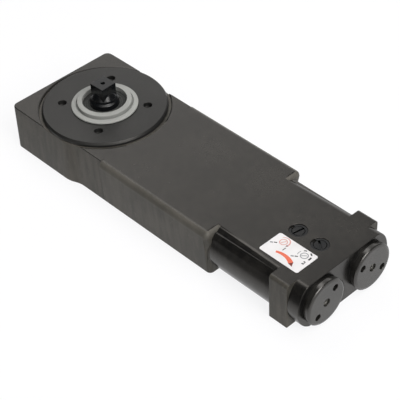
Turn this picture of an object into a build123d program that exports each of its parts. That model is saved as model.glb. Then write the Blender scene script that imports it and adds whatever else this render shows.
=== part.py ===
from build123d import *

import os
from math import acos, ceil, cos, floor, pi, radians, sin, sqrt, tan

# Concealed double-acting door closer for a transom tube.
# Origin: on the spindle axis, in the plane of the casting's underside.
# +X runs from the spindle to the spring end, +Z up the spindle, millimetres.
# "left" is the +Y bore and "right" the -Y bore, seen from the spindle towards the springs.

# Casting outline
casting_height = 33.6
head_end_margin = 4.2  # rim of the bearing cap to the end face of the head
head_side_margin = 0.2  # rim of the bearing cap to the head's sides
head_corner_radius = 6.0
side_wall = 5.0  # between a bore and the flat side of the square section
shoulder_start = 5.0  # the sides draw in from the head's width between these two places
shoulder_length = 15.0
crisp_edge_length = 41.0  # the machined head's sharp top edges end here
wide_length = 138.5  # spindle axis to the step where the square section ends
long_edge_radius = 4.0
step_corner_radius = 3.0
step_overlap = 10.0  # the round section starts this far inside the square one
foot_edge_radius = 0.4
tube_wall = 4.9
tube_length = 49.3  # step to lug
lug_length = 14.3
lug_stand = 0.2  # the lug's ends stand past the tubes by this much
lug_edge_radius = 2.5
collar_length = 8.4

# Cylinder bores
bore_offset = 20.0
bore_wall = 2.8  # above and below each bore
bore_end_wall = 5.7  # between a bore's blind end and the head's end face
mouth_step = 0.8
mouth_depth = 12.5
keyway_width = 4.0
keyway_depth = 1.4
keyway_length = 34.0

# Gear chamber and spotface in the head
chamber_floor = 4.0
spotface_margin = 1.8
spotface_depth = 1.2
spotface_lip_width = 1.4
spotface_lip_drop = 0.5
bearing_floor = 2.4
bearing_boss_wall = 3.4

# Spindle
journal_radius = 9.8
spindle_height = 52.4
collar_top = 40.0
collar_slope = 1.0
neck_margin = 0.1  # the neck stands past the square's corners
neck_length = 1.5
drive_square = 11.8
drive_angle = 2.0
drive_cone_height = 4.0
centre_hole_radius = 1.4
centre_hole_depth = 3.0
spindle_floor_gap = 0.4

# Rack and pinion
gear_module = 1.8
pinion_teeth = 10
pressure_angle = 25.0
pinion_addendum = 1.6
rack_addendum = 1.4
root_gap = 0.35
backlash = 0.14
swing_limit = 105.0
rack_end_gap = 2.0  # between a rack's end and the bore's blind end at the limit
rack_side_gap = 0.4
flank_points = 5

# Needle bearings
roller_radius = 2.4
roller_length = 6.4
roller_gap = 0.6
bearing_play = 0.03
cup_wall = 1.5
cup_length = 7.4
cup_floor_gap = 0.2
washer_thickness = 0.9
washer_wall = 3.0
washer_gap = 0.1

# Bearing cap
cap_radius = 42.0
cap_stand = 1.9  # the cap's face stands above the casting by this much
cap_flange_width = 6.0  # the cap's rim stands past the gear chamber by this much
cap_chamfer = 1.0
cap_chamfer_drop = 1.6
cap_skirt_depth = 6.4
cap_skirt_wall = 4.9
cap_plate = 4.6
cap_boss_wall = 3.6
cap_lip = 2.0
cap_hole_margin = 6.35  # shield ring to the middle of a hole
cap_hole_radius = 2.8
cap_hole_depth = 3.2
cap_hole_angle = 41.0
cap_hole_count = 4
thread_gap = 0.1
cap_seal_wire = 1.35
cap_seal_drop = 3.2

# Shield ring and shaft seal
seal_width = 5.0
shield_width = 7.35
shield_height = 4.3
shield_flange = 1.1
shield_slope = 0.6
shield_lip_width = 3.4
shield_groove_width = 0.8
shield_groove_depth = 0.9
seal_depth = 2.2
seal_stand = 1.2
seal_ridge_count = 3
seal_ridge_height = 0.45

# Rack pistons
piston_play = 0.05
piston_length = 18.0
piston_travel_gap = 1.6
spigot_gap = 0.7  # between the spring and the spigot inside it
spigot_length = 6.0
piston_groove_width = 3.0
piston_groove_depth = 2.3
piston_groove_place = 9.0
check_valve_wall = 0.55  # between the check valve and the seal groove
check_valve_radius = 2.5
check_valve_length = 14.0
check_valve_passage = 1.1

# Closing springs
spring_wire_radius = 2.0
spring_side_gap = 1.1
spring_coils = 10

# Spring seats and adjusting screws
seat_play = 0.35
seat_length = 8.0
seat_boss_gap = 1.7  # between the spring and the boss inside it
seat_boss_length = 6.0
seat_to_cap = 6.0
key_play = 0.2
screw_radius = 4.0
screw_play = 0.05
screw_length = 34.0
screw_collar_radius = 5.9
screw_collar_length = 3.4
screw_nose_radius = 2.6
screw_nose_sink = 1.4
socket_size = 3.0
socket_depth = 3.0

# End caps
end_cap_overhang = 0.7  # the flange stands past the mouth by this much
end_cap_flange = 3.6
end_cap_neck = 1.4
end_cap_chamfer = 0.7
end_cap_recess = 8.0
end_cap_hole_circle = 10.1
end_cap_hole_radius = 2.2
end_cap_hole_depth = 2.6
end_cap_seal_wire = 1.1
end_cap_seal_place = 5.0
end_cap_hole_angles = {"left": 150.5, "right": 45.0}

# Speed valves on the centre line, measured back from the bore mouths
valve_places = {"sweep_valve": 36.2, "latch_valve": 18.9}
valve_slot_angles = {"sweep_valve": 78.0, "latch_valve": -36.0}
valve_recess_depth = 1.3
valve_flange_bore = 5.0
valve_flange_bore_depth = 7.2
valve_bore_radius = 3.5
valve_bore_floor = 8.0
valve_head_radius = 3.8
valve_head_sink = 0.5
valve_flange_gap = 0.2
valve_flange_drop = 3.8
valve_flange_length = 1.2
valve_play = 0.1
valve_tip_length = 3.4
valve_tip_radius = 1.0
valve_seal_drop = 13.0
valve_seal_wire = 0.7
slot_width = 1.3
slot_depth = 1.5
ring_thickness = 0.8
ring_seat_width = 0.7
ring_head_gap = 0.3
ring_gap_width = 2.6
oilway_radius = 1.5
oilway_height = 12.0

# Tapped fixing holes in the head's end face
fixing_hole_radius = 2.5
fixing_hole_depth = 8.0
fixing_hole_spacing = 14.0

# Label on the top face
label_length = 30.4
label_width = 18.5
label_thickness = 0.2
label_corner = 1.4
label_from_mouth = 12.0
label_offset = 18.0

# Places that follow from the sizes above
bore_height = casting_height / 2
bore_radius = bore_height - bore_wall
mouth_radius = bore_radius + mouth_step
waist_half_width = bore_offset + bore_radius + side_wall
tube_radius = bore_radius + tube_wall
lug_half_width = bore_offset + tube_radius + lug_stand
head_end = cap_radius + head_end_margin
head_half_width = cap_radius + head_side_margin
bore_reach = head_end - bore_end_wall
chamber_radius = cap_radius - cap_flange_width
spotface_radius = cap_radius + spotface_margin
lug_start = wide_length + tube_length
lug_end = lug_start + lug_length
mouth = lug_end + collar_length
cap_face = casting_height + cap_stand
spotface = casting_height - spotface_depth
neck_radius = drive_square / sqrt(2) + neck_margin
neck_bottom = collar_top + collar_slope
neck_top = neck_bottom + neck_length
pitch_radius = gear_module * pinion_teeth / 2
tooth_pitch = gear_module * pi
rack_travel = pitch_radius * radians(swing_limit)
rack_reach = bore_reach - rack_travel - rack_end_gap
lower_cup_bottom = bearing_floor + cup_floor_gap
lower_cup_top = lower_cup_bottom + cup_length
lower_washer_top = lower_cup_top + washer_thickness
pinion_bottom = lower_washer_top + washer_gap
pinion_top = casting_height - pinion_bottom
pinion_width = pinion_top - pinion_bottom
rack_half_height = pinion_width / 2 - rack_side_gap
roller_circle = journal_radius + bearing_play + roller_radius
roller_count = floor(2 * pi * roller_circle / (2 * roller_radius + roller_gap))
cup_bore_radius = roller_circle + roller_radius + bearing_play
cup_radius = cup_bore_radius + cup_wall
boss_radius = cup_radius + bearing_boss_wall
upper_washer_bottom = pinion_top + washer_gap
upper_cup_bottom = upper_washer_bottom + washer_thickness
piston_radius = bore_radius - piston_play
piston_front = chamber_radius + piston_travel_gap + rack_travel
piston_back = piston_front + piston_length
check_valve_offset = (
    piston_radius - piston_groove_depth - check_valve_wall - check_valve_radius
)
shield_bore_radius = journal_radius + seal_width
shield_radius = shield_bore_radius + shield_width
cap_hole_circle = shield_radius + cap_hole_margin
spring_radius = bore_radius - spring_side_gap - spring_wire_radius
spring_inner_radius = spring_radius - spring_wire_radius
spigot_radius = spring_inner_radius - spigot_gap
seat_boss_radius = spring_inner_radius - seat_boss_gap
end_cap_radius = mouth_radius + end_cap_overhang
valve_recess_radius = valve_flange_bore + ring_seat_width
valve_flange_radius = valve_flange_bore - valve_flange_gap
ring_inner_radius = valve_head_radius + ring_head_gap
cap_inner_face = mouth - mouth_depth
seat_back = cap_inner_face - seat_to_cap
seat_front = seat_back - seat_length
end_cap_back = mouth + end_cap_neck
end_cap_front = end_cap_back + end_cap_flange
screw_shoulder = cap_inner_face + end_cap_recess
sides = {"left": 1, "right": -1}

os.makedirs("parts", exist_ok=True)


def bore_axis(sign):
    """The centre line of one cylinder bore."""
    return Axis((0, sign * bore_offset, bore_height), (1, 0, 0))


def bore_plane(sign):
    """A drawing plane along one bore: x runs along the bore, y is the radius."""
    return Plane(
        origin=(0, sign * bore_offset, bore_height), x_dir=(1, 0, 0), z_dir=(0, -1, 0)
    )


def cross_plane(sign, place):
    """A drawing plane square to one bore: x is +Y, y is +Z, and the normal is +X."""
    return Plane(
        origin=(place, sign * bore_offset, bore_height), x_dir=(0, 1, 0), z_dir=(1, 0, 0)
    )


# Casting: one grey-iron body with the gear chamber in its head and two bores along it

with BuildPart() as body_casting:
    # The square middle, whose long edges are rounded
    with BuildSketch():
        with Locations(((crisp_edge_length + wide_length) / 2, 0)):
            Rectangle(wide_length - crisp_edge_length, 2 * waist_half_width)
    extrude(amount=casting_height)
    long_edges = body_casting.edges().filter_by(Axis.X).group_by(Axis.Z)[-1]
    fillet(long_edges, long_edge_radius)
    step_corners = body_casting.edges().filter_by(Axis.Z).group_by(Axis.X)[-1]
    fillet(step_corners, step_corner_radius)
    # The machined head, whose top edges are sharp and whose sides draw in at the shoulders
    with BuildSketch():
        with BuildLine():
            shoulder_end = shoulder_start + shoulder_length
            shoulder_middle = (
                shoulder_start + shoulder_length / 2,
                (head_half_width + waist_half_width) / 2,
            )
            corner_start = head_corner_radius - head_end
            Polyline(
                (crisp_edge_length, 0),
                (crisp_edge_length, waist_half_width),
                (shoulder_end, waist_half_width),
            )
            TangentArc((shoulder_end, waist_half_width), shoulder_middle, tangent=(-1, 0))
            TangentArc((shoulder_start, head_half_width), shoulder_middle, tangent=(1, 0))
            Line((shoulder_start, head_half_width), (corner_start, head_half_width))
            RadiusArc(
                (corner_start, head_half_width),
                (-head_end, head_half_width - head_corner_radius),
                -head_corner_radius,
            )
            Line((-head_end, head_half_width - head_corner_radius), (-head_end, 0))
            mirror(about=Plane.XZ)
        make_face()
    extrude(amount=casting_height)
    # The round-sided spring end, with its flat top and bottom, and the square lug
    with BuildSketch(Plane.YZ.offset(wide_length - step_overlap)):
        with Locations((bore_offset, bore_height), (-bore_offset, bore_height)):
            Circle(tube_radius)
        with Locations((0, bore_height)):
            Rectangle(2 * bore_offset, casting_height)
            Rectangle(
                2 * (bore_offset + tube_radius), casting_height, mode=Mode.INTERSECT
            )
    extrude(amount=mouth - wide_length + step_overlap)
    with BuildSketch(Plane.YZ.offset(lug_start)) as lug_section:
        with Locations((0, bore_height)):
            Rectangle(2 * lug_half_width, casting_height)
        fillet(lug_section.vertices().group_by(Axis.Y)[-1], lug_edge_radius)
    extrude(amount=lug_length)
    # Spotface for the bearing cap, with a sloping lip, then the gear chamber below it
    with BuildSketch(Plane.XZ):
        with BuildLine():
            Polyline(
                (0, spotface),
                (spotface_radius, spotface),
                (spotface_radius, casting_height - spotface_lip_drop),
                (spotface_radius + spotface_lip_width, casting_height),
                (0, casting_height),
                close=True,
            )
        make_face()
    revolve(axis=Axis.Z, mode=Mode.SUBTRACT)
    with BuildSketch(Plane.XY.offset(chamber_floor)):
        Circle(chamber_radius)
    extrude(amount=casting_height - chamber_floor, mode=Mode.SUBTRACT)
    for sign in sides.values():
        with BuildSketch(cross_plane(sign, -bore_reach)):
            Circle(bore_radius)
        extrude(amount=bore_reach + mouth, mode=Mode.SUBTRACT)
        with BuildSketch(cross_plane(sign, cap_inner_face)):
            Circle(mouth_radius)
        extrude(amount=mouth_depth, mode=Mode.SUBTRACT)
        with BuildSketch(cross_plane(sign, cap_inner_face - keyway_length)):
            with Locations((sign * bore_radius, 0)):
                Rectangle(2 * keyway_depth, keyway_width)
        extrude(amount=keyway_length, mode=Mode.SUBTRACT)
    # Boss for the lower bearing, standing on the chamber floor
    with BuildSketch(Plane.XY.offset(bearing_floor)):
        Circle(boss_radius)
    extrude(amount=lower_cup_top - bearing_floor)
    with BuildSketch(Plane.XY.offset(bearing_floor)):
        Circle(cup_radius + thread_gap)
    extrude(amount=casting_height, mode=Mode.SUBTRACT)
    # Valve wells and the oilway that joins them to the chamber
    for place in valve_places.values():
        for radius, depth in (
            (valve_recess_radius, valve_recess_depth),
            (valve_flange_bore, valve_flange_bore_depth),
            (valve_bore_radius, casting_height - valve_bore_floor),
        ):
            with BuildSketch(Plane.XY.offset(casting_height - depth)):
                with Locations((mouth - place, 0)):
                    Circle(radius)
            extrude(amount=depth, mode=Mode.SUBTRACT)
        with BuildSketch(Plane.XZ):
            with Locations((mouth - place, oilway_height)):
                Circle(oilway_radius)
        extrude(amount=bore_offset / 2, both=True, mode=Mode.SUBTRACT)
    with BuildSketch(Plane.YZ.offset(chamber_radius - oilway_radius)):
        with Locations((0, oilway_height)):
            Circle(oilway_radius)
    extrude(
        amount=mouth - min(valve_places.values()) - chamber_radius + oilway_radius,
        mode=Mode.SUBTRACT,
    )
    # Tapped fixing holes in the head's end face
    with BuildSketch(Plane.YZ.offset(-head_end)):
        with Locations((0, bore_height)):
            with GridLocations(0, fixing_hole_spacing, 1, 2):
                Circle(fixing_hole_radius)
    extrude(amount=fixing_hole_depth, mode=Mode.SUBTRACT)
    foot_edges = body_casting.faces().sort_by(Axis.Z)[0].outer_wire().edges()
    fillet(foot_edges, foot_edge_radius)
body_casting.part.label = "body_casting"
export_step(body_casting.part, "parts/body_casting.step")

# Bearing cap: the large round cover that screws into the head and carries the upper bearing

cap_underside = cap_face - cap_plate
skirt_radius = chamber_radius - thread_gap
skirt_bottom = spotface - cap_skirt_depth
cap_seal_height = spotface - cap_seal_drop
cap_seal_radius = chamber_radius - cap_seal_wire - thread_gap / 2
cup_seat_radius = cup_radius + thread_gap
upper_cup_top = upper_cup_bottom + cup_length
seal_bottom = cap_face - seal_depth

with BuildPart() as bearing_cap:
    with BuildSketch(Plane.XZ):
        with BuildLine():
            Polyline(
                (shield_bore_radius, cap_face),
                (cap_radius - cap_chamfer, cap_face),
                (cap_radius, cap_face - cap_chamfer_drop),
                (cap_radius, spotface),
                (skirt_radius, spotface),
                (skirt_radius, skirt_bottom),
                (skirt_radius - cap_skirt_wall, skirt_bottom),
                (skirt_radius - cap_skirt_wall, cap_underside),
                (cup_seat_radius + cap_boss_wall, cap_underside),
                (cup_seat_radius + cap_boss_wall, upper_cup_bottom),
                (cup_seat_radius, upper_cup_bottom),
                (cup_seat_radius, upper_cup_top),
                (shield_bore_radius - cap_lip, upper_cup_top),
                (shield_bore_radius - cap_lip, seal_bottom),
                (shield_bore_radius, seal_bottom),
                close=True,
            )
        make_face()
    revolve(axis=Axis.Z)
    with BuildSketch(Plane.XZ):
        with Locations((cap_seal_radius, cap_seal_height)):
            Rectangle(2 * cap_seal_wire, 2 * cap_seal_wire + thread_gap)
        with Locations((chamber_radius, cap_seal_height)):
            Rectangle(2 * cap_seal_wire, 2 * cap_seal_wire + thread_gap)
    revolve(axis=Axis.Z, mode=Mode.SUBTRACT)
    with BuildSketch(Plane.XY.offset(cap_face)):
        with PolarLocations(cap_hole_circle, cap_hole_count, start_angle=cap_hole_angle):
            Circle(cap_hole_radius)
    extrude(amount=-cap_hole_depth, mode=Mode.SUBTRACT)
bearing_cap.part.label = "bearing_cap"
export_step(bearing_cap.part, "parts/bearing_cap.step")

with BuildPart() as bearing_cap_seal:
    with BuildSketch(Plane.XZ):
        with Locations((cap_seal_radius, cap_seal_height)):
            Circle(cap_seal_wire)
    revolve(axis=Axis.Z)
bearing_cap_seal.part.label = "bearing_cap_seal"
export_step(bearing_cap_seal.part, "parts/bearing_cap_seal.step")

# Shield ring: the pale moulded ring round the spindle, with a raised inner lip

with BuildPart() as shield_ring:
    lip_radius = shield_bore_radius + shield_lip_width
    groove_radius = lip_radius + shield_groove_width
    flange_top = cap_face + shield_flange + shield_slope
    with BuildSketch(Plane.XZ):
        with BuildLine():
            Polyline(
                (shield_bore_radius, cap_face),
                (shield_radius, cap_face),
                (shield_radius, cap_face + shield_flange),
                (groove_radius, flange_top),
                (groove_radius, flange_top - shield_groove_depth),
                (lip_radius, flange_top - shield_groove_depth),
                (lip_radius, cap_face + shield_height - shield_slope),
                (shield_bore_radius, cap_face + shield_height),
                close=True,
            )
        make_face()
    revolve(axis=Axis.Z)
shield_ring.part.label = "shield_ring"
export_step(shield_ring.part, "parts/shield_ring.step")

# Shaft seal: the ribbed annulus between the spindle and the shield ring

with BuildPart() as shaft_seal:
    seal_inner = journal_radius + bearing_play
    seal_outer = shield_bore_radius - thread_gap
    seal_top = cap_face + seal_stand
    with BuildSketch(Plane.XZ):
        with BuildLine():
            Polyline(
                (seal_inner, seal_bottom),
                (seal_outer, seal_bottom),
                (seal_outer, seal_top),
                (seal_inner, seal_top),
                close=True,
            )
        make_face()
    revolve(axis=Axis.Z)
    ridge_pitch = (seal_outer - seal_inner) / (seal_ridge_count + 0.5)
    with BuildSketch(Plane.XZ):
        for ridge in range(seal_ridge_count):
            ridge_start = seal_inner + (ridge + 0.5) * ridge_pitch
            with BuildLine():
                Polyline(
                    (ridge_start, seal_top),
                    (ridge_start + ridge_pitch / 2, seal_top),
                    (ridge_start + ridge_pitch / 4, seal_top - seal_ridge_height),
                    close=True,
                )
            make_face()
    revolve(axis=Axis.Z, mode=Mode.SUBTRACT)
shaft_seal.part.label = "shaft_seal"
export_step(shaft_seal.part, "parts/shaft_seal.step")

# Needle bearings: a drawn cup and a ring of loose rollers at each end of the pinion

for place, bottom in {"lower": lower_cup_bottom, "upper": upper_cup_bottom}.items():
    with BuildPart() as bearing_cup:
        with BuildSketch(Plane.XY.offset(bottom)):
            Circle(cup_radius)
            Circle(cup_bore_radius, mode=Mode.SUBTRACT)
        extrude(amount=cup_length)
    bearing_cup.part.label = f"{place}_bearing_cup"
    export_step(bearing_cup.part, f"parts/{place}_bearing_cup.step")
    with BuildPart() as bearing_rollers:
        with BuildSketch(Plane.XY.offset(bottom + (cup_length - roller_length) / 2)):
            with PolarLocations(roller_circle, roller_count):
                Circle(roller_radius)
        extrude(amount=roller_length)
    bearing_rollers.part.label = f"{place}_bearing_rollers"
    export_step(bearing_rollers.part, f"parts/{place}_bearing_rollers.step")

with BuildPart() as thrust_washers:
    for bottom in (lower_cup_top, upper_washer_bottom):
        with BuildSketch(Plane.XY.offset(bottom)):
            Circle(journal_radius + washer_gap + washer_wall)
            Circle(journal_radius + washer_gap, mode=Mode.SUBTRACT)
        extrude(amount=washer_thickness)
thrust_washers.part.label = "thrust_washers"
export_step(thrust_washers.part, "parts/thrust_washers.step")

# Spindle: pinion, two journals and a square drive in one turned piece

base_radius = pitch_radius * cos(radians(pressure_angle))
tip_radius = pitch_radius + pinion_addendum
root_radius = pitch_radius - rack_addendum - root_gap


def involute(angle):
    """The involute function of a pressure angle in radians."""
    return tan(angle) - angle


def flank_point(radius, side):
    """A point on one flank of the pinion tooth that points along +X."""
    half_tooth = (tooth_pitch / 2 - backlash) / 2 / pitch_radius
    local_angle = acos(base_radius / radius)
    turn = half_tooth + involute(radians(pressure_angle)) - involute(local_angle)
    return (radius * cos(turn), side * radius * sin(turn))


def flank(side):
    """One involute flank, from the base circle to the tip."""
    step = (tip_radius - base_radius) / (flank_points - 1)
    return [flank_point(base_radius + step * index, side) for index in range(flank_points)]


with BuildSketch() as pinion_tooth:
    with BuildLine():
        near_flank = flank(-1)
        far_flank = flank(1)
        Spline(*near_flank)
        Line(near_flank[-1], far_flank[-1])
        Spline(*far_flank)
        Polyline(far_flank[0], (root_radius / 2, 0), near_flank[0])
    make_face()

with BuildPart() as spindle:
    with BuildSketch(Plane.XZ):
        with BuildLine():
            Polyline(
                (0, bearing_floor + spindle_floor_gap),
                (journal_radius, bearing_floor + spindle_floor_gap),
                (journal_radius, pinion_bottom),
                (root_radius, pinion_bottom),
                (root_radius, pinion_top),
                (journal_radius, pinion_top),
                (journal_radius, collar_top),
                (neck_radius, neck_bottom),
                (neck_radius, neck_top),
                (drive_square / 2, neck_top + drive_cone_height),
                (0, neck_top + drive_cone_height),
                close=True,
            )
        make_face()
    revolve(axis=Axis.Z)
    with BuildSketch(Plane.XY.offset(pinion_bottom)):
        with PolarLocations(0, pinion_teeth, start_angle=90):
            add(pinion_tooth.sketch)
    extrude(amount=pinion_width)
    with BuildSketch(Plane.XY.offset(collar_top)):
        Rectangle(drive_square, drive_square, rotation=drive_angle)
    extrude(amount=spindle_height - collar_top)
    with BuildSketch(Plane.XY.offset(spindle_height)):
        Circle(centre_hole_radius)
    extrude(amount=-centre_hole_depth, mode=Mode.SUBTRACT)
spindle.part.label = "spindle"
export_step(spindle.part, "parts/spindle.step")

# Rack pistons: turned heads that run in the bores, with a toothed bar beside the pinion

rack_tip = pitch_radius - rack_addendum
rack_root = pitch_radius + pinion_addendum + root_gap
rack_spaces = 2 * ceil((rack_travel + tip_radius) / tooth_pitch) + 1


def half_space(height):
    """Half the width of a rack's tooth space at a distance from the spindle axis."""
    half_pitch_space = (tooth_pitch / 2 + backlash) / 2
    return half_pitch_space + (pitch_radius - height) * tan(radians(pressure_angle))


for side, sign in sides.items():
    with BuildPart() as rack_piston:
        with BuildSketch(cross_plane(sign, -rack_reach)):
            Circle(piston_radius)
            Rectangle(2 * bore_radius, 2 * rack_half_height, mode=Mode.INTERSECT)
            with Locations((-sign * (bore_offset - rack_tip + bore_radius), 0)):
                Rectangle(2 * bore_radius, 2 * bore_radius, mode=Mode.SUBTRACT)
        extrude(amount=rack_reach + piston_front)
        with BuildSketch(cross_plane(sign, piston_front)):
            Circle(piston_radius)
        extrude(amount=piston_length)
        with BuildSketch(cross_plane(sign, piston_back)):
            Circle(spigot_radius)
        extrude(amount=spigot_length)
        with BuildSketch(Plane.XY.offset(bore_height)):
            for index in range(rack_spaces):
                place = (index - (rack_spaces - 1) / 2) * tooth_pitch
                with BuildLine():
                    Polyline(
                        (place - half_space(rack_tip - root_gap), sign * (rack_tip - root_gap)),
                        (place - half_space(rack_root), sign * rack_root),
                        (place + half_space(rack_root), sign * rack_root),
                        (place + half_space(rack_tip - root_gap), sign * (rack_tip - root_gap)),
                        close=True,
                    )
                make_face()
        extrude(amount=rack_half_height, both=True, mode=Mode.SUBTRACT)
        groove_start = piston_front + piston_groove_place
        with BuildSketch(cross_plane(sign, groove_start)):
            Circle(bore_radius)
            Circle(piston_radius - piston_groove_depth, mode=Mode.SUBTRACT)
        extrude(amount=piston_groove_width, mode=Mode.SUBTRACT)
        with BuildSketch(cross_plane(sign, piston_front)):
            with Locations((0, check_valve_offset)):
                Circle(check_valve_radius)
        extrude(amount=piston_length, mode=Mode.SUBTRACT)
    rack_piston.part.label = f"rack_piston_{side}"
    export_step(rack_piston.part, f"parts/rack_piston_{side}.step")
    with BuildPart() as piston_seal:
        with BuildSketch(cross_plane(sign, groove_start)):
            Circle(piston_radius)
            Circle(piston_radius - piston_groove_depth, mode=Mode.SUBTRACT)
        extrude(amount=piston_groove_width)
    piston_seal.part.label = f"piston_seal_{side}"
    export_step(piston_seal.part, f"parts/piston_seal_{side}.step")
    with BuildPart() as check_valve:
        valve_start = piston_front + (piston_length - check_valve_length) / 2
        with BuildSketch(cross_plane(sign, valve_start)):
            with Locations((0, check_valve_offset)):
                Circle(check_valve_radius)
                Circle(check_valve_passage, mode=Mode.SUBTRACT)
        extrude(amount=check_valve_length)
    check_valve.part.label = f"check_valve_{side}"
    export_step(check_valve.part, f"parts/check_valve_{side}.step")

# Closing springs: one compression coil behind each piston, with ground ends

spring_length = seat_front - piston_back

for side, sign in sides.items():
    with BuildPart() as closing_spring:
        with BuildLine() as coil:
            Helix(
                pitch=spring_length / spring_coils,
                height=spring_length,
                radius=spring_radius,
                center=(piston_back, sign * bore_offset, bore_height),
                direction=(1, 0, 0),
            )
        with BuildSketch(coil.line ^ 0):
            Circle(spring_wire_radius)
        sweep(path=coil.line, is_frenet=True)
        split(bisect_by=Plane.YZ.offset(piston_back), keep=Keep.TOP)
        split(bisect_by=Plane.YZ.offset(seat_front), keep=Keep.BOTTOM)
    closing_spring.part.label = f"closing_spring_{side}"
    export_step(closing_spring.part, f"parts/closing_spring_{side}.step")

# Spring seats: threaded plates that the adjusting screws drive along the bores

for side, sign in sides.items():
    with BuildPart() as spring_seat:
        with BuildSketch(cross_plane(sign, seat_front)):
            Circle(bore_radius - seat_play)
            with Locations((sign * bore_radius, 0)):
                Rectangle(2 * (keyway_depth - seat_play), keyway_width - 2 * key_play)
        extrude(amount=seat_length)
        with BuildSketch(cross_plane(sign, seat_front)):
            Circle(seat_boss_radius)
        extrude(amount=-seat_boss_length)
        with BuildSketch(cross_plane(sign, seat_front - seat_boss_length)):
            Circle(screw_radius + screw_play)
        extrude(amount=seat_boss_length + seat_length, mode=Mode.SUBTRACT)
    spring_seat.part.label = f"spring_seat_{side}"
    export_step(spring_seat.part, f"parts/spring_seat_{side}.step")

# Adjusting screws: held endways by the end cap, with a hexagon socket at the outer end

for side, sign in sides.items():
    with BuildPart() as adjusting_screw:
        with BuildSketch(bore_plane(sign)):
            with BuildLine():
                Polyline(
                    (screw_shoulder - screw_collar_length - screw_length, 0),
                    (screw_shoulder - screw_collar_length - screw_length, screw_radius),
                    (screw_shoulder - screw_collar_length, screw_radius),
                    (screw_shoulder - screw_collar_length, screw_collar_radius),
                    (screw_shoulder - screw_play, screw_collar_radius),
                    (screw_shoulder - screw_play, screw_nose_radius),
                    (end_cap_front - screw_nose_sink, screw_nose_radius),
                    (end_cap_front - screw_nose_sink, 0),
                    close=True,
                )
            make_face()
        revolve(axis=bore_axis(sign))
        with BuildSketch(cross_plane(sign, end_cap_front - screw_nose_sink)):
            RegularPolygon(socket_size / 2, 6, major_radius=False)
        extrude(amount=-socket_depth, mode=Mode.SUBTRACT)
    adjusting_screw.part.label = f"adjusting_screw_{side}"
    export_step(adjusting_screw.part, f"parts/adjusting_screw_{side}.step")

# End caps: flanged plugs screwed into the bore mouths, with two holes for a pin spanner

for side, sign in sides.items():
    with BuildPart() as end_cap:
        with BuildSketch(bore_plane(sign)):
            with BuildLine():
                Polyline(
                    (cap_inner_face, screw_collar_radius + seat_play),
                    (cap_inner_face, mouth_radius - thread_gap),
                    (end_cap_back, mouth_radius - thread_gap),
                    (end_cap_back, end_cap_radius),
                    (end_cap_front - end_cap_chamfer, end_cap_radius),
                    (end_cap_front, end_cap_radius - end_cap_chamfer),
                    (end_cap_front, screw_nose_radius + screw_play),
                    (screw_shoulder, screw_nose_radius + screw_play),
                    (screw_shoulder, screw_collar_radius + seat_play),
                    close=True,
                )
            make_face()
        revolve(axis=bore_axis(sign))
        seal_place = cap_inner_face + end_cap_seal_place
        seal_radius = mouth_radius - end_cap_seal_wire - thread_gap / 2
        with BuildSketch(bore_plane(sign)):
            with Locations((seal_place, mouth_radius - end_cap_seal_wire)):
                Rectangle(2 * end_cap_seal_wire + thread_gap, 2 * end_cap_seal_wire + thread_gap)
        revolve(axis=bore_axis(sign), mode=Mode.SUBTRACT)
        with BuildSketch(cross_plane(sign, end_cap_front)):
            with PolarLocations(end_cap_hole_circle, 2, start_angle=end_cap_hole_angles[side]):
                Circle(end_cap_hole_radius)
        extrude(amount=-end_cap_hole_depth, mode=Mode.SUBTRACT)
    end_cap.part.label = f"end_cap_{side}"
    export_step(end_cap.part, f"parts/end_cap_{side}.step")
    with BuildPart() as end_cap_seal:
        with BuildSketch(bore_plane(sign)):
            with Locations((seal_place, seal_radius)):
                Circle(end_cap_seal_wire)
        revolve(axis=bore_axis(sign))
    end_cap_seal.part.label = f"end_cap_seal_{side}"
    export_step(end_cap_seal.part, f"parts/end_cap_seal_{side}.step")

# Speed valves: slotted metering screws in the web between the bores

head_top = casting_height - valve_head_sink
flange_top = casting_height - valve_flange_drop
flange_bottom = flange_top - valve_flange_length
stem_radius = valve_bore_radius - valve_play
tip_bottom = valve_bore_floor + valve_flange_bore_depth - valve_flange_drop
valve_seal_height = casting_height - valve_seal_drop
valve_seal_radius = valve_bore_radius - valve_seal_wire - bearing_play

for valve, place in valve_places.items():
    centre = mouth - place
    valve_axis = Axis((centre, 0, 0), (0, 0, 1))
    side_plane = Plane(origin=(centre, 0, 0), x_dir=(1, 0, 0), z_dir=(0, -1, 0))
    with BuildPart() as valve_screw:
        with BuildSketch(side_plane):
            with BuildLine():
                Polyline(
                    (0, tip_bottom),
                    (valve_tip_radius, tip_bottom),
                    (stem_radius, tip_bottom + valve_tip_length),
                    (stem_radius, flange_bottom),
                    (valve_flange_radius, flange_bottom),
                    (valve_flange_radius, flange_top),
                    (valve_head_radius, flange_top),
                    (valve_head_radius, head_top),
                    (0, head_top),
                    close=True,
                )
            make_face()
        revolve(axis=valve_axis)
        with BuildSketch(side_plane):
            with Locations((stem_radius, valve_seal_height)):
                Rectangle(4 * valve_seal_wire, 2 * valve_seal_wire + 2 * valve_play)
        revolve(axis=valve_axis, mode=Mode.SUBTRACT)
        with BuildSketch(Plane.XY.offset(head_top)):
            with Locations((centre, 0)):
                Rectangle(
                    2 * valve_head_radius,
                    slot_width,
                    rotation=valve_slot_angles[valve],
                )
        extrude(amount=-slot_depth, mode=Mode.SUBTRACT)
    valve_screw.part.label = valve
    export_step(valve_screw.part, f"parts/{valve}.step")
    with BuildPart() as valve_seal:
        with BuildSketch(side_plane):
            with Locations((valve_seal_radius, valve_seal_height)):
                Circle(valve_seal_wire)
        revolve(axis=valve_axis)
    valve_seal.part.label = f"{valve}_seal"
    export_step(valve_seal.part, f"parts/{valve}_seal.step")

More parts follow.
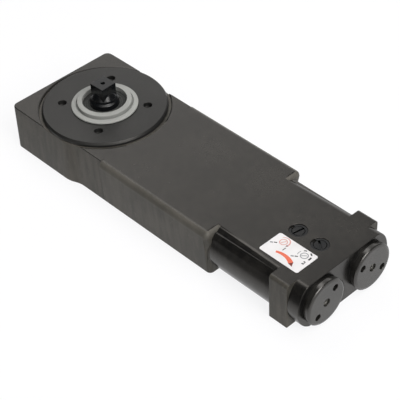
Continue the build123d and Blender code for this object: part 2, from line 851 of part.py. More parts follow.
with BuildPart() as valve_retaining_rings:
    ring_bottom = casting_height - valve_recess_depth
    with BuildSketch(Plane.XY.offset(ring_bottom)):
        for place in valve_places.values():
            with Locations((mouth - place, 0)):
                Circle(valve_recess_radius - bearing_play)
                Circle(ring_inner_radius, mode=Mode.SUBTRACT)
            with Locations((mouth - place - valve_recess_radius, 0)):
                Rectangle(2 * (valve_recess_radius - 1), ring_gap_width, mode=Mode.SUBTRACT)
    extrude(amount=ring_thickness)
valve_retaining_rings.part.label = "valve_retaining_rings"
export_step(valve_retaining_rings.part, "parts/valve_retaining_rings.step")

# Label: a thin adhesive plate beside the valves that shows which way each one turns

with BuildPart() as dial_label:
    with BuildSketch(Plane.XY.offset(casting_height)):
        with Locations((mouth - label_from_mouth - label_length / 2, -label_offset)):
            RectangleRounded(label_length, label_width, label_corner)
    extrude(amount=label_thickness)
dial_label.part.label = "dial_label"
export_step(dial_label.part, "parts/dial_label.step")
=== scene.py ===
from math import atan2, cos, pi, radians, sin

import bmesh
import bpy
from mathutils import Matrix, Vector


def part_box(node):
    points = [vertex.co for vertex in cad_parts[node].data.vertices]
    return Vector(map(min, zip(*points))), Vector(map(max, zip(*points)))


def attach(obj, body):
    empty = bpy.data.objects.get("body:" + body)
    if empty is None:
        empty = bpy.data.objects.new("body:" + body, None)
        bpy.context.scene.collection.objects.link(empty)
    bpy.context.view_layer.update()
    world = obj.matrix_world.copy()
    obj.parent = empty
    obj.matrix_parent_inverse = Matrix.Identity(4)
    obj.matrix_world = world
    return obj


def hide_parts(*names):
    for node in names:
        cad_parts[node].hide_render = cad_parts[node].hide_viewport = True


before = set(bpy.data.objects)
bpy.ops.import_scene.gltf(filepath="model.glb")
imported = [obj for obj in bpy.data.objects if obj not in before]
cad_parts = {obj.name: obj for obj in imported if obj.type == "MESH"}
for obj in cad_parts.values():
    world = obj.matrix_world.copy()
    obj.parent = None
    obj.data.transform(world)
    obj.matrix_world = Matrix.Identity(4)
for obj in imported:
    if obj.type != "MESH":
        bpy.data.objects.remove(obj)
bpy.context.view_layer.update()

# Camera: a long lens off the plug end, looking down on the body at the photograph's angle.
# The picture is square, and the lens is rolled a little clockwise.

picture_width = 400
sensor_width = 36.0
focal_pixels = 1356.1
azimuth = radians(48.045)
elevation = radians(41.334)
roll = radians(-2.807)
camera_reach = 0.8727
camera_target = Vector((0.0846, 0.0040, 0.0))

camera_back = Vector(
    (sin(azimuth) * cos(elevation), -cos(azimuth) * cos(elevation), sin(elevation))
)
camera_level = Vector((cos(azimuth), sin(azimuth), 0.0))
camera_upright = camera_back.cross(camera_level)
camera_right = camera_level * cos(roll) + camera_upright * sin(roll)
camera_up = camera_upright * cos(roll) - camera_level * sin(roll)
camera = bpy.data.objects.new("camera", bpy.data.cameras.new("camera"))
camera.data.sensor_width = sensor_width
camera.data.lens = sensor_width * focal_pixels / picture_width
camera.data.clip_start = 0.05
camera.matrix_world = Matrix.Translation(camera_target + camera_back * camera_reach) @ (
    Matrix((camera_right, camera_up, camera_back)).transposed().to_4x4()
)
bpy.context.scene.collection.objects.link(camera)
bpy.context.scene.camera = camera

# Body casting: one grey-iron casting with the gear chamber and both cylinders in it, milled flat
# on top and round the spotface, then sprayed with a thin satin black that lets the sand grain of
# the sides show. Its edges are broken by hand, so each has a narrow round.

millimetre = 0.001
merge_reach = 0.004 * millimetre
flat_angle = radians(0.4)
sharp_angle = radians(30.0)


class Wire:
    """A shader socket, so that plain arithmetic on it adds Math nodes to its material."""

    def __init__(self, tree, socket):
        self.tree = tree
        self.socket = socket

    def node(self, kind, settings, values, output=0):
        """Add a node: first its settings, then a value or a link for each named socket."""
        made = self.tree.nodes.new(kind)
        for setting, value in settings.items():
            setattr(made, setting, value)
        for key, value in values.items():
            if isinstance(key, int):
                entry = made.inputs[key]
            else:
                entry = next(item for item in made.inputs if item.enabled and item.name == key)
            if isinstance(value, Wire):
                self.tree.links.new(value.socket, entry)
            else:
                entry.default_value = value
        results = [item for item in made.outputs if item.enabled]
        return Wire(self.tree, results[output]) if results else None

    def maths(self, operation, *values):
        return self.node("ShaderNodeMath", {"operation": operation}, dict(enumerate(values)))

    def __add__(self, other):
        return self.maths("ADD", self, other)

    def __radd__(self, other):
        return self.maths("ADD", other, self)

    def __sub__(self, other):
        return self.maths("SUBTRACT", self, other)

    def __rsub__(self, other):
        return self.maths("SUBTRACT", other, self)

    def __mul__(self, other):
        return self.maths("MULTIPLY", self, other)

    def __rmul__(self, other):
        return self.maths("MULTIPLY", other, self)

    def __truediv__(self, other):
        return self.maths("DIVIDE", self, other)

    def __pow__(self, other):
        return self.maths("POWER", self, other)


def shade(red, green, blue):
    """A linear colour from the eight-bit values that a screen shows."""
    parts = (red / 255, green / 255, blue / 255)
    return tuple(((part + 0.055) / 1.055) ** 2.4 for part in parts) + (1.0,)


def new_material(name):
    """A material with an empty tree, and the place on the object as the first wire."""
    material = bpy.data.materials.new(name)
    material.use_nodes = True
    tree = material.node_tree
    tree.nodes.clear()
    place = tree.nodes.new("ShaderNodeTexCoord").outputs["Object"]
    return material, Wire(tree, place)


def noise(place, scale, detail=3.0, roughness=0.5):
    """Fractal noise from 0 to 1, with scale in grains per metre."""
    values = {"Vector": place, "Scale": scale, "Detail": detail, "Roughness": roughness}
    return place.node("ShaderNodeTexNoise", {}, values)


def fade(value, start, end):
    """0 where the value is start, 1 where it is end, and smooth between the two."""
    settings = {"interpolation_type": "SMOOTHSTEP"}
    values = {"Value": value, "From Min": start, "From Max": end}
    return value.node("ShaderNodeMapRange", settings, values)


def blend_colours(mask, low, high):
    """The low colour where the mask is 0, and the high one where it is 1."""
    return mask.node("ShaderNodeMix", {"data_type": "RGBA"}, {"Factor": mask, "A": low, "B": high})


def axes_of(place):
    """The three coordinates of a place, each as a wire."""
    return [place.node("ShaderNodeSeparateXYZ", {}, {"Vector": place}, axis) for axis in range(3)]


def surface(place, base, roughness, relief=None, depth=0.0, **constants):
    """Close a material with one Principled shader, whose constants go on its own sockets."""
    values = {"Base Color": base, "Roughness": roughness}
    values.update({name.replace("_", " "): value for name, value in constants.items()})
    if relief is not None:
        values["Normal"] = place.node("ShaderNodeBump", {}, {"Distance": depth, "Height": relief})
    shader = place.node("ShaderNodeBsdfPrincipled", {}, values)
    place.node("ShaderNodeOutputMaterial", {}, {"Surface": shader})


def select_alone(piece):
    bpy.ops.object.select_all(action="DESELECT")
    bpy.context.view_layer.objects.active = piece
    piece.select_set(True)


def soften(piece, width, segments=3, share_of=None):
    """Round the sharp edges of a piece by their share of the width, then shade it by area."""
    shape = bmesh.new()
    shape.from_mesh(piece.data)
    weight = shape.edges.layers.float.new("bevel_weight_edge")
    for edge in shape.edges:
        sharp = edge.calc_face_angle(0.0) > sharp_angle
        edge[weight] = (share_of(edge) if share_of else 1.0) if sharp else 0.0
    shape.to_mesh(piece.data)
    shape.free()
    select_alone(piece)
    edges = piece.modifiers.new("edges", "BEVEL")
    edges.width = width
    edges.segments = segments
    edges.limit_method = "WEIGHT"
    edges.use_clamp_overlap = False
    edges.miter_outer = "MITER_ARC"
    bpy.ops.object.modifier_apply(modifier=edges.name)
    bpy.ops.object.shade_smooth_by_angle(angle=sharp_angle)
    normals = piece.modifiers.new("normals", "WEIGHTED_NORMAL")
    normals.keep_sharp = True
    bpy.ops.object.modifier_apply(modifier=normals.name)


def merged_copy(node, name):
    """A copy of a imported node, with its loose triangles joined into whole faces."""
    piece = bpy.data.objects.new(name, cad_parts[node].data.copy())
    piece.data.name = name
    bpy.context.scene.collection.objects.link(piece)
    select_alone(piece)
    bpy.ops.object.mode_set(mode="EDIT")
    bpy.ops.mesh.select_all(action="SELECT")
    bpy.ops.mesh.customdata_custom_splitnormals_clear()
    bpy.ops.mesh.remove_doubles(threshold=merge_reach)
    bpy.ops.mesh.dissolve_limited(angle_limit=flat_angle)
    bpy.ops.object.mode_set(mode="OBJECT")
    return piece


def worked_copy(node, name, width):
    """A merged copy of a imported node, with its sharp edges rounded."""
    piece = merged_copy(node, name)
    soften(piece, width)
    return piece


def dress(piece, material, slot, body, *nodes):
    """Give a piece its material and say which body it rides and which nodes it stands for."""
    piece.data.materials.clear()
    piece.data.materials.append(material)
    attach(piece, body)
    if nodes:
        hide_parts(*nodes)


casting_edge = 0.3 * millimetre
broad_edge = 0.7 * millimetre  # the round on the head's milled rim
casting_black = shade(15, 15, 15)
casting_dust = shade(69, 66, 61)
# This paler colour serves both the real wear on the grain and the painted highlight on the flanks'
# rounded top edge.
casting_wear_and_sheen = shade(88, 86, 81)
sand_black = shade(47, 46, 42)
top_skim = 0.15 * millimetre
sand_depth = 0.09 * millimetre
flank_start = 41.0 * millimetre  # the machined head ends here and the rough flanks begin
flank_end = 138.5 * millimetre
crown_sheen_start = 28.0 * millimetre  # the flanks' rounded top edge is painted paler from here up, as a painted highlight
crown_sheen_end = 30.8 * millimetre
lug_start = 187.8 * millimetre  # the square lug stands between these two on the tubes
lug_end = 202.1 * millimetre
casting_tint = (1.0, 0.95, 0.88, 1.0)
streak_grain = (260.0, 260.0, 45.0)

casting_paint, place = new_material("casting_paint")
along, across, height = axes_of(place)
casting_low, casting_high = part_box("body_casting")
casting_top = casting_high.z
on_head = 1 - fade(along, flank_start - top_skim, flank_start)
milled_depth = top_skim + on_head * broad_edge  # on the head, the rim's round counts as milled
milled = fade((height - casting_top) / milled_depth, -1.0, -0.8)
on_spring_end = fade(along, flank_end, flank_end + top_skim)
past_lug = fade(along, lug_end, lug_end + top_skim)
on_lug = fade(along, lug_start - top_skim, lug_start) * (1 - past_lug)
turned = on_spring_end * (1 - on_lug)
smooth = milled.maths("MAXIMUM", milled, turned)
rough = 1 - smooth
sand = noise(place, 620.0, 6.0, 0.62)
fine_sand = noise(place, 2600.0, 2.0)
spray = noise(place, 1500.0, 2.0, 0.4)
cloud = noise(place, 26.0, 4.0)
drawn_down = place.node("ShaderNodeMapping", {}, {"Vector": place, "Scale": streak_grain})
streaks = noise(drawn_down, 1.0, 3.0)
sand_relief = (sand * 0.6 + fine_sand * 0.2 + streaks * 0.5) * (rough * 0.9 + 0.1) + spray * 0.1
dusty = fade(cloud * 0.5 + streaks * 0.5, 0.36, 0.66) * (rough * 0.85 + 0.15)
on_middle = rough * (1 - on_head) * (1 - on_spring_end)
# Painted highlight: the flanks' rounded top edge is painted paler, where light falls on its round, and
# this is mixed in with the real wear.
painted_crown_sheen = fade(height, crown_sheen_start, crown_sheen_end) * on_middle
wear_and_sheen = fade(sand, 0.56, 0.76) * (rough * 0.7 + 0.1)
wear_and_sheen = wear_and_sheen.maths("MAXIMUM", wear_and_sheen, painted_crown_sheen * (0.2 + cloud * 0.4))
bare_tone = blend_colours(rough, casting_black, sand_black)
casting_colour = blend_colours(wear_and_sheen, blend_colours(dusty, bare_tone, casting_dust), casting_wear_and_sheen)
casting_roughness = 0.2 + cloud * 0.07 + sand * 0.05 + rough * 0.28
surface(
    place,
    casting_colour,
    casting_roughness,
    sand_relief,
    sand_depth,
    IOR=1.5,
    Specular_Tint=casting_tint,
)

# The middle of the casting is left as cast, so its flanks stand proud of the machined head at the
# top and draft in to the foot. The head's corners are ground back a little less than the pattern,
# and the tubes are fuller in their upper outer quarters, where they roll over into the flat top.

flank_run = 0.4 * millimetre
flank_stand = 2.2 * millimetre
flank_crown = 29.6 * millimetre  # the flanks stand fully proud from this height up
flank_inside = 34.5 * millimetre  # everything further out than this belongs to a flank
plug_low, plug_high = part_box("end_cap_left")
bore_offset = (plug_low.y + plug_high.y) / 2
tube_radius = 18.9 * millimetre
pattern_corner = 6.0 * millimetre
ground_corner = 4.0 * millimetre
tube_swell = 1.3 * millimetre
swell_turn = radians(55)  # the swelling grows over this much of the tube, from its side upwards
roll_over = 1.4 * millimetre
roll_reach = 32.5 * millimetre  # by here the tubes have left the flat top
spotface_reach = 46.0 * millimetre  # edges nearer the spindle belong to the round spotface
hair = 0.03 * millimetre  # what lies nearer than this to a face counts as on it

casting = merged_copy("body_casting", "casting")
bpy.ops.object.mode_set(mode="EDIT")
for cut in (flank_start, flank_start + flank_run):
    bpy.ops.mesh.select_all(action="SELECT")
    bpy.ops.mesh.bisect(plane_co=(cut, 0.0, 0.0), plane_no=(1.0, 0.0, 0.0))
for cut in (-roll_reach, roll_reach):
    bpy.ops.mesh.select_all(action="SELECT")
    bpy.ops.mesh.bisect(plane_co=(0.0, cut, 0.0), plane_no=(0.0, 1.0, 0.0))
bpy.ops.object.mode_set(mode="OBJECT")
corner_x = casting_low.x + pattern_corner
corner_y = casting_high.y - pattern_corner
for vertex in casting.data.vertices:
    x, y, z = vertex.co
    side = 1 if y > 0 else -1
    spoke = Vector((abs(y) - bore_offset, z - casting_top / 2))
    off_tube = spoke.length - tube_radius

    # The upper outer quarter of a tube swells, and rolls over where it meets the flat top.
    if x > flank_end - hair and abs(off_tube) < hair and min(spoke) > 0:
        lean = atan2(spoke.x, spoke.y)
        share = min(1.0, (pi / 2 - lean) / swell_turn)
        swell = tube_swell * share**2 * (3 - 2 * share)
        spoke *= 1 + swell / tube_radius
        above = casting_top / 2 + spoke.y - casting_top
        blend = max(0.0, 1 - abs(above) / roll_over)
        vertex.co.y = side * (bore_offset + spoke.x)
        vertex.co.z = casting_top + min(0.0, above) - blend**2 * roll_over / 4

    # A flank leans out from the foot to the top.
    on_flank = flank_start + flank_run / 2 < x < flank_end + hair and abs(y) > flank_inside
    if on_flank and abs(off_tube) > hair:
        vertex.co.y += side * flank_stand * min(1.0, z / flank_crown)

    # A corner of the head goes out from the pattern's round to the smaller ground one.
    if x < corner_x + hair and abs(y) > corner_y - hair:
        away = Vector((x - corner_x, abs(y) - corner_y))
        shift = (pattern_corner - ground_corner) * (Vector((-1.0, 1.0)) - away.normalized())
        vertex.co.x += shift.x
        vertex.co.y += side * shift.y


def edge_share(edge):
    """How much of the round an edge gets: the milled rim most, hollow or crowded edges none."""
    middle = (edge.verts[0].co + edge.verts[1].co) / 2
    beside_start = abs(middle.x - flank_start - flank_run / 2) < 2 * flank_run
    beside_tube = any(abs(middle.x - wall_x) < hair for wall_x in (flank_end, lug_start, lug_end))
    if not edge.is_convex or (beside_start and abs(middle.y) > flank_inside):
        return 0.0
    if beside_tube and abs(middle.y) < roll_reach:
        return 0.0
    on_rim = middle.x < flank_start and middle.xy.length > spotface_reach
    return 1.0 if on_rim and middle.z > casting_top - hair else casting_edge / broad_edge


soften(casting, broad_edge, share_of=edge_share)
dress(casting, casting_paint, "casting_paint", "casting", "body_casting")

# Bearing cap: a steel cover that screws into the head over the gear chamber. It is turned on
# its face and rim, so very fine rings run round the spindle under the black finish, and four
# blind holes take a pin spanner.

cap_black = shade(22, 22, 22)
cap_light = shade(36, 36, 35)
cap_edge = 0.3 * millimetre
turning_pitch = 0.42 * millimetre
cap_turning_depth = 0.012 * millimetre
cap_tint = (1.0, 0.98, 0.94, 1.0)

cap_finish, place = new_material("cap_finish")
along, across, height = axes_of(place)
radius = (along * along + across * across) ** 0.5
wander = noise(place, 90.0, 2.0)
turning = radius.maths("SINE", (radius + wander * turning_pitch) * (2 * pi / turning_pitch))
cloud = noise(place, 34.0, 4.0)
speck = noise(place, 1900.0, 3.0)
cap_colour = blend_colours(fade(cloud * 0.6 + speck * 0.4, 0.35, 0.7), cap_black, cap_light)
surface(
    place,
    cap_colour,
    0.36 + cloud * 0.1 + turning * 0.02,
    turning * 0.5 + speck,
    cap_turning_depth,
    IOR=1.42,
    Specular_Tint=cap_tint,
)

bearing_cap = worked_copy("bearing_cap", "cap", cap_edge)
dress(bearing_cap, cap_finish, "cap_paint", "casting", "bearing_cap")

# Shield ring: a pale grey moulded ring pushed over the cap's neck. It has a low outer flange, a
# round groove and a raised inner lip, all with the soft corners and dull skin of moulded nylon.

ring_grey = shade(138, 139, 136)
ring_light = shade(147, 148, 145)
ring_shadow = shade(98, 99, 96)
ring_edge = 0.35 * millimetre
ring_skin_depth = 0.02 * millimetre
groove_radius = 18.6 * millimetre
groove_core = 0.2 * millimetre  # the painted shade is darkest this near the groove's middle
groove_side = 1.0 * millimetre

ring_plastic, place = new_material("ring_plastic")
skin = noise(place, 1400.0, 4.0, 0.6)
cloud = noise(place, 60.0, 3.0)
along, across, height = axes_of(place)
radius = (along * along + across * across) ** 0.5
from_groove = radius.maths("ABSOLUTE", radius - groove_radius)
# Painted shade: the groove is darkened towards its middle, where shade falls, in the ring_shadow colour.
painted_groove_shade = (1 - fade(from_groove, groove_core, groove_side)) * (0.2 + cloud * 0.4)
unshaded_ring_tone = blend_colours(fade(cloud, 0.3, 0.7), ring_light, ring_grey)
ring_colour = blend_colours(painted_groove_shade, unshaded_ring_tone, ring_shadow)
surface(place, ring_colour, 0.46 + skin * 0.14, skin, ring_skin_depth, IOR=1.5)

shield_ring = worked_copy("shield_ring", "shield", ring_edge)
dress(shield_ring, ring_plastic, "shield_plastic", "casting", "shield_ring")

# Shaft seal: a grey rubber lip seal pressed in round the spindle, moulded with ridges that
# keep dust off the running lip.

seal_grey = shade(50, 51, 49)
seal_dark = shade(36, 37, 36)
seal_edge = 0.12 * millimetre
seal_skin_depth = 0.02 * millimetre

seal_skin, place = new_material("seal_skin")
skin = noise(place, 2200.0, 4.0, 0.6)
cloud = noise(place, 120.0, 3.0)
seal_colour = blend_colours(fade(cloud * 0.5 + skin * 0.5, 0.35, 0.65), seal_dark, seal_grey)
surface(place, seal_colour, 0.5 + skin * 0.2, skin, seal_skin_depth, IOR=1.5)

shaft_seal = worked_copy("shaft_seal", "lip_seal", seal_edge)
dress(shaft_seal, seal_skin, "lip_rubber", "casting", "shaft_seal")

# Spindle: turned and milled from one bar, with the pinion's teeth cut in its middle, then
# hardened and oil-blackened. Tool marks run round the collar and across the drive's flats.

oiled_black = shade(10, 12, 14)
oiled_brown = shade(20, 20, 20)
spindle_edge = 0.3 * millimetre
tool_mark_depth = 0.01 * millimetre
tool_mark_grain = (60.0, 60.0, 3000.0)

blackened, place = new_material("blackened")
drawn_out = place.node("ShaderNodeMapping", {}, {"Vector": place, "Scale": tool_mark_grain})
rings = noise(drawn_out, 1.0, 2.0)
bloom = noise(place, 260.0, 4.0, 0.6)
black_colour = blend_colours(fade(bloom, 0.4, 0.75), oiled_black, oiled_brown)
surface(place, black_colour, 0.16 + bloom * 0.1, rings, tool_mark_depth, IOR=1.4)

spindle = worked_copy("spindle", "shaft", spindle_edge)
dress(spindle, blackened, "blackened_steel", "spindle", "spindle")

# End caps: two flanged plugs screwed into the bore mouths. Their faces are turned and have two
# blind spanner holes each, and the black finish is a little thinner and greyer than the paint.

plug_black = shade(22, 22, 21)
plug_light = shade(36, 35, 33)
plug_edge = 0.3 * millimetre
rim_round = 1.3 * millimetre
rim_reach = 13.0 * millimetre  # outside the spanner holes, inside the rim
plug_turning_depth = 0.01 * millimetre
plug_tint = (1.0, 0.97, 0.93, 1.0)
plug_front = plug_high.x
bore_centre_height = casting_top / 2

plug_finish, place = new_material("plug_finish")
along, across, height = axes_of(place)
from_bore = across.maths("ABSOLUTE", across) - bore_offset
lifted = height - bore_centre_height
radius = (from_bore * from_bore + lifted * lifted) ** 0.5
turning = radius.maths("SINE", radius * (2 * pi / turning_pitch))
cloud = noise(place, 70.0, 4.0)
speck = noise(place, 2100.0, 3.0)
plug_colour = blend_colours(fade(cloud * 0.6 + speck * 0.4, 0.35, 0.7), plug_black, plug_light)
surface(
    place,
    plug_colour,
    0.2 + cloud * 0.08,
    turning * 0.5 + speck,
    plug_turning_depth,
    IOR=1.62,
    Specular_Tint=plug_tint,
)


def plug_share(edge):
    """The front rim is rounded most, the other edges of a plug only a little."""
    middle = (edge.verts[0].co + edge.verts[1].co) / 2
    reach = Vector((abs(middle.y) - bore_offset, middle.z - bore_centre_height)).length
    at_front = middle.x > plug_front - hair and reach > rim_reach
    return 1.0 if at_front else plug_edge / rim_round


for side in ("left", "right"):
    plug = merged_copy(f"end_cap_{side}", f"plug_{side}")
    soften(plug, rim_round, segments=5, share_of=plug_share)
    dress(plug, plug_finish, "cap_paint", "casting", f"end_cap_{side}")

# Adjusting screws: bright zinc-plated screws held endways inside the plugs, with a hexagon
# socket in the nose that shows in each plug's middle hole.

bright_zinc = shade(205, 203, 198)
dull_zinc = shade(160, 158, 152)
screw_edge = 0.15 * millimetre
plating_depth = 0.008 * millimetre

zinc, place = new_material("zinc")
grain = noise(place, 1800.0, 3.0)
cloud = noise(place, 300.0, 3.0)
zinc_colour = blend_colours(fade(cloud, 0.35, 0.65), dull_zinc, bright_zinc)
surface(place, zinc_colour, 0.28 + grain * 0.16, grain, plating_depth, Metallic=1.0)

for side in ("left", "right"):
    screw = worked_copy(f"adjusting_screw_{side}", f"screw_{side}", screw_edge)
    dress(screw, zinc, "ground_steel", f"adjuster_{side}", f"adjusting_screw_{side}")

# Speed valves: two slotted metering screws in the web between the bores, each kept in by a
# spring ring that snaps over its flange.

valve_edge = 0.12 * millimetre
keeper_edge = 0.1 * millimetre

for valve in ("sweep_valve", "latch_valve"):
    needle = worked_copy(valve, f"{valve}_needle", valve_edge)
    dress(needle, blackened, "blackened_steel", valve, valve)
keepers = worked_copy("valve_retaining_rings", "keepers", keeper_edge)
dress(keepers, blackened, "blackened_steel", "casting", "valve_retaining_rings")

# Label: a thin white film stuck beside the valves. Its print is a plain picture of the two
# screws, with a number for each and arrows for the way to turn them.

film_white = shade(218, 216, 217)
film_grey = shade(211, 210, 211)
film_edge = 0.08 * millimetre
film_skin_depth = 0.006 * millimetre
label_low, label_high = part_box("dial_label")
label_middle = (label_low + label_high) / 2
label_middle.z = label_high.z
print_rise = 0.03 * millimetre
print_sink = 0.01 * millimetre
print_thickness = print_rise + print_sink

film, place = new_material("film")
cloud = noise(place, 90.0, 3.0)
skin = noise(place, 2600.0, 2.0)
film_colour = blend_colours(fade(cloud, 0.3, 0.7), film_grey, film_white)
surface(place, film_colour, 0.32 + skin * 0.12, skin, film_skin_depth, IOR=1.45)

label = worked_copy("dial_label", "label", film_edge)
dress(label, film, "label_film", "casting", "dial_label")


def ink(name, tone, light):
    """A matt print colour that is a little uneven, as from a rubber roller."""
    material, place = new_material(name)
    patch = noise(place, 1600.0, 3.0)
    print_tone = blend_colours(fade(patch, 0.4, 0.75), tone, light)
    surface(place, print_tone, 0.45 + patch * 0.1, IOR=1.4)
    return material


def set_print(drawing, corner, material):
    """Turn a flat curve or a figure into a mesh, its corner set on the label from its middle."""
    bpy.context.scene.collection.objects.link(drawing)
    select_alone(drawing)
    bpy.ops.object.convert(target="MESH")
    print_piece = bpy.context.object
    lift = (print_rise - print_sink) / 2
    shift = Vector((corner[0] * millimetre, corner[1] * millimetre, lift))
    print_piece.data.transform(Matrix.Translation(label_middle + shift))
    dress(print_piece, material, "label_film", "casting")


def flat_print(name, outlines, material):
    """A printed shape from closed outlines, in millimetres from the label's middle."""
    curve = bpy.data.curves.new(name, "CURVE")
    curve.dimensions = "2D"
    curve.fill_mode = "BOTH"
    curve.extrude = print_thickness / 2
    for outline in outlines:
        spline = curve.splines.new("POLY")
        spline.points.add(len(outline) - 1)
        spline.use_cyclic_u = True
        for point, (x, y) in zip(spline.points, outline):
            point.co = (x * millimetre, y * millimetre, 0.0, 1.0)
    set_print(bpy.data.objects.new(name, curve), (0.0, 0.0), material)


def round_point(centre, radius, angle):
    """The point at an angle, in radians, on a circle round a centre."""
    return centre[0] + radius * cos(angle), centre[1] + radius * sin(angle)


def band(centre, radius, start, end, width_start, width_end, steps=24):
    """The outline of a curved band, whose width grows from its start to its end."""
    outer = []
    inner = []
    for step in range(steps + 1):
        share = step / steps
        angle = radians(start + (end - start) * share)
        half = (width_start + (width_end - width_start) * share) / 2
        outer.append(round_point(centre, radius + half, angle))
        inner.append(round_point(centre, radius - half, angle))
    return outer + inner[::-1]


def arrow_head(centre, radius, angle, size, turn):
    """A triangle at the end of a curved band, pointing the way the band turns."""
    start = radians(angle)
    tip = start + turn * 1.5 * size / radius
    corners = ((radius - size * 0.75, start), (radius + size * 0.75, start), (radius, tip))
    return [round_point(centre, reach, turned) for reach, turned in corners]


def bar(centre, length, width, angle):
    """A straight stroke through a centre."""
    lengthways = Vector(round_point((0.0, 0.0), length / 2, radians(angle)))
    sideways = Vector(round_point((0.0, 0.0), width / 2, radians(angle + 90)))
    front = Vector(centre) + lengthways
    back = Vector(centre) - lengthways
    left_edge = [tuple(front + sideways), tuple(back + sideways)]
    right_edge = [tuple(back - sideways), tuple(front - sideways)]
    return left_edge + right_edge


red_ink = ink("red_ink", shade(208, 96, 70), shade(220, 120, 92))
deep_red_ink = ink("deep_red_ink", shade(96, 36, 32), shade(120, 56, 48))
rose_ink = ink("rose_ink", shade(196, 142, 136), shade(210, 164, 158))
black_ink = ink("black_ink", shade(36, 38, 40), shade(62, 64, 66))
grey_ink = ink("grey_ink", shade(120, 124, 128), shade(146, 150, 152))

swing_centre = (-0.5, -17.2)
swing_radius = 13.9
swing_start = 113
swing_end = 58
swing_widths = (1.6, 3.1)
swing_band = band(swing_centre, swing_radius, swing_start, swing_end, *swing_widths)
flat_print("print_swing", [swing_band], red_ink)
swing_tip = arrow_head(swing_centre, swing_radius, swing_end, size=2.1, turn=-1)
flat_print("print_swing_tip", [swing_tip], deep_red_ink)

dial_one = (-8.1, 4.4)
dial_two = (8.5, 4.3)
dial_radius = 2.3
dial_sweep = 359.9  # a hair short of the whole circle, so that the band's ends don't cross
stroke_width = 0.6
slot_length = 3.4
for name, centre, stroke_ink, slot_angle in (
    ("one", dial_one, rose_ink, 60),
    ("two", dial_two, grey_ink, 40),
):
    dial_band = band(centre, dial_radius, 0, dial_sweep, stroke_width, stroke_width, steps=48)
    flat_print(f"print_dial_{name}", [dial_band], stroke_ink)
    slot_bar = bar(centre, slot_length, stroke_width, slot_angle)
    flat_print(f"print_slot_{name}", [slot_bar], stroke_ink)

turn_radius = 4.0
turn_start = 140
turn_end = -10
turn_widths = (0.4, 0.9)
turn_band = band(dial_one, turn_radius, turn_start, turn_end, *turn_widths)
flat_print("print_turn_one", [turn_band], rose_ink)
turn_tip = arrow_head(dial_one, turn_radius, turn_end, size=1.0, turn=-1)
flat_print("print_turn_one_tip", [turn_tip], deep_red_ink)

dash_radius = 4.2
dash_steps = 8
tail_width = 0.45
dashes = [
    band(dial_two, dash_radius, start, start + sweep, width, width, dash_steps)
    for start, sweep, width in ((110, 26, 0.8), (42, 28, 0.9), (-14, 36, 1.1))
]
flat_print("print_turn_two", dashes, black_ink)
tail = band(dial_two, dash_radius, 160, 205, tail_width, tail_width, dash_steps)
flat_print("print_turn_two_tail", [tail], grey_ink)

tick_length = 1.9
tick_angle = 30
tick_width = 0.8
notch_width = 1.0
notch_step = (-1.9, -1.4)  # from each dial's black tick to the grey notch beside it
for name, middle in (("one", (-11.3, 1.0)), ("two", (5.4, 0.8))):
    flat_print(f"print_tick_{name}", [bar(middle, tick_length, tick_width, tick_angle)], black_ink)
    notch_middle = (middle[0] + notch_step[0], middle[1] + notch_step[1])
    notch = bar(notch_middle, tick_length, notch_width, tick_angle)
    flat_print(f"print_notch_{name}", [notch], grey_ink)

figure_size = 3.6 * millimetre
figure_weight = 0.12 * millimetre
for name, figure, corner in (("one", "1", (-4.7, -0.9)), ("two", "2", (11.3, -1.5))):
    text = bpy.data.curves.new(f"print_figure_{name}", "FONT")
    text.body = figure
    text.size = figure_size
    text.offset = figure_weight
    text.extrude = print_thickness / 2
    set_print(bpy.data.objects.new(f"print_figure_{name}", text), corner, black_ink)

# Running gear inside the casting: needle rollers in drawn cups, thrust washers, rack pistons,
# check valves and spring seats, all of ground steel that shines under a film of oil.

steel_light = shade(188, 188, 186)
steel_dark = shade(146, 145, 142)
grinding_grain = (2400.0, 300.0, 2400.0)
grinding_depth = 0.004 * millimetre


def finish_inner(material, *nodes):
    """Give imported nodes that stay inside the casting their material, with their meshes as they are."""
    for node in nodes:
        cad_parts[node].data.materials.clear()
        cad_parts[node].data.materials.append(material)


ground_steel, place = new_material("ground_steel")
drawn_out = place.node("ShaderNodeMapping", {}, {"Vector": place, "Scale": grinding_grain})
grinding = noise(drawn_out, 1.0, 3.0)
cloud = noise(place, 80.0, 3.0)
steel_colour = blend_colours(fade(cloud, 0.3, 0.7), steel_dark, steel_light)
surface(place, steel_colour, 0.2 + grinding * 0.2, grinding, grinding_depth, Metallic=1.0)

finish_inner(
    ground_steel,
    "lower_bearing_cup",
    "upper_bearing_cup",
    "lower_bearing_rollers",
    "upper_bearing_rollers",
    "thrust_washers",
    "rack_piston_left",
    "rack_piston_right",
    "check_valve_left",
    "check_valve_right",
    "spring_seat_left",
    "spring_seat_right",
)

# Closing springs: heavy coils of peened chrome-silicon wire, blued dark by tempering. Each is
# held between its piston and the seat on its adjusting screw.

spring_blue = shade(92, 94, 102)
spring_straw = shade(120, 110, 92)
peening_depth = 0.02 * millimetre

spring_wire, place = new_material("spring_wire")
peening = noise(place, 1500.0, 3.0)
heat = noise(place, 40.0, 3.0)
spring_colour = blend_colours(fade(heat, 0.35, 0.7), spring_blue, spring_straw)
surface(place, spring_colour, 0.3 + peening * 0.2, peening, peening_depth, Metallic=0.9)

finish_inner(spring_wire, "closing_spring_left", "closing_spring_right")

# Seals: black nitrile rings in the cap, the pistons, the plugs and the valves, moulded to size
# and stretched into their grooves.

nitrile_black = shade(24, 24, 24)
nitrile_grey = shade(38, 38, 38)
nitrile_skin_depth = 0.01 * millimetre

nitrile, place = new_material("nitrile")
skin = noise(place, 2400.0, 3.0)
nitrile_colour = blend_colours(fade(skin, 0.4, 0.7), nitrile_black, nitrile_grey)
surface(place, nitrile_colour, 0.5 + skin * 0.2, skin, nitrile_skin_depth)

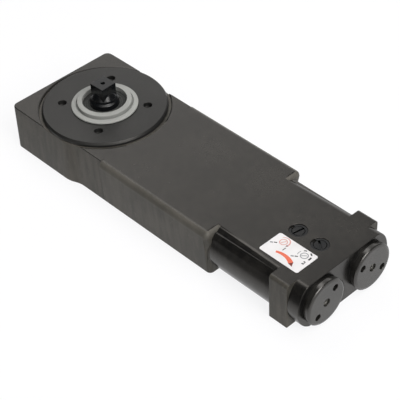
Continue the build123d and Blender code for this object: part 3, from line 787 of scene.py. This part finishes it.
finish_inner(
    nitrile,
    "bearing_cap_seal",
    "piston_seal_left",
    "piston_seal_right",
    "end_cap_seal_left",
    "end_cap_seal_right",
    "sweep_valve_seal",
    "latch_valve_seal",
)

# Studio: a white sheet that the camera and the gloss see as nearly plain white, with a faint
# shadow of the closer on it. For the gloss it ends near the closer's front side, as a sheet of
# real paper would. A broad soft box hangs overhead and the room round it is dark but for its glows.

floor_size = 6.0
floor_drop = 0.2 * millimetre
seen_white = 0.86
glossy_white = 0.92
white_reach = 55.0 * millimetre
paper_light = shade(242, 242, 242)
paper_dark = shade(238, 238, 238)
sheet_white = shade(254, 254, 255)
beyond_grey = shade(60, 60, 60)

bpy.ops.object.select_all(action="DESELECT")
bpy.ops.mesh.primitive_plane_add(size=floor_size, location=(0.0, 0.0, -floor_drop))
floor = bpy.context.object
floor.name = "floor"

floor_paint, place = new_material("floor_paint")
paper = noise(place, 40.0, 2.0)
paper_white = blend_colours(paper, paper_dark, paper_light)
ray = place.tree.nodes.new("ShaderNodeLightPath").outputs
by_camera = Wire(place.tree, ray["Is Camera Ray"])
by_glass = Wire(place.tree, ray["Is Transmission Ray"])
by_gloss = Wire(place.tree, ray["Is Glossy Ray"])
across = axes_of(place)[1]
plain = place.maths("MAXIMUM", by_camera * seen_white, by_gloss * glossy_white)
plain = place.maths("MAXIMUM", plain, by_glass * glossy_white)
matt = {"Base Color": paper_white, "Roughness": 1.0, "IOR": 1.0}
lit_paper = place.node("ShaderNodeBsdfPrincipled", {}, matt)
beyond = fade(0 - across, white_reach, 2 * white_reach) * by_gloss
sheet_tone = blend_colours(beyond, sheet_white, beyond_grey)
plain_white = place.node("ShaderNodeEmission", {}, {"Color": sheet_tone})
sweep = place.node("ShaderNodeMixShader", {}, {0: plain, 1: lit_paper, 2: plain_white})
place.node("ShaderNodeOutputMaterial", {}, {"Surface": sweep})
floor.data.materials.append(floor_paint)

world = bpy.data.worlds.new("room")
world.use_nodes = True
bpy.context.scene.world = world
world.node_tree.nodes.clear()
toward = Wire(world.node_tree, world.node_tree.nodes.new("ShaderNodeTexCoord").outputs["Generated"])


def glow(direction, edge, full, strength):
    """Light from round a direction: none where the cosine is edge, its strength where full."""
    axis = Vector(direction).normalized()
    settings = {"operation": "DOT_PRODUCT"}
    cosine = toward.node("ShaderNodeVectorMath", settings, {0: toward, 1: axis}, 0)
    return fade(cosine, edge, full) * strength


# The wall stands where the flat tops mirror it and the far wall where the far tube does. The strip
# lies along the near tube's shoulder, the card is by the camera and the window lights the plug end.
wall = glow((-0.64, 0.465, 0.61), edge=0.94, full=1.0, strength=1.15)
far_wall = glow((-0.56, 0.80, 0.20), edge=0.88, full=0.97, strength=1.2)
strip = glow((-0.57, 0.16, 0.81), edge=0.955, full=0.99, strength=3.0)
card = glow(camera_back, edge=0.72, full=0.95, strength=1.3)
window = glow((0.78, -0.06, 0.62), edge=0.935, full=0.98, strength=7.5)
dim_room = 0.04
seen_room = 0.97
room_colour = (1.0, 0.99, 0.98, 1.0)
room_path = world.node_tree.nodes.new("ShaderNodeLightPath").outputs
in_view = Wire(world.node_tree, room_path["Is Camera Ray"])
room_light = wall + far_wall + strip + card + window + dim_room
brightness = room_light * (1 - in_view) + in_view * seen_room
background = {"Color": room_colour, "Strength": brightness}
room = toward.node("ShaderNodeBackground", {}, background)
toward.node("ShaderNodeOutputWorld", {}, {"Surface": room})

box_aim = Vector((0.09, 0.0, 0.0))
box_direction = Vector((0.25, 0.10, 0.96)).normalized()
box_reach = 1.0
box_side = 0.8
box_power = 4.9
lamp = bpy.data.lights.new("soft_box", "AREA")
lamp.shape = "RECTANGLE"
lamp.size = box_side
lamp.size_y = box_side
lamp.energy = box_power
lamp.color = (1.0, 0.99, 0.97)
soft_box = bpy.data.objects.new("soft_box", lamp)
soft_box.matrix_world = Matrix.Translation(box_aim + box_direction * box_reach) @ (
    box_direction.to_track_quat("Z", "Y").to_matrix().to_4x4()
)
bpy.context.scene.collection.objects.link(soft_box)

bpy.context.scene.view_settings.view_transform = "Standard"
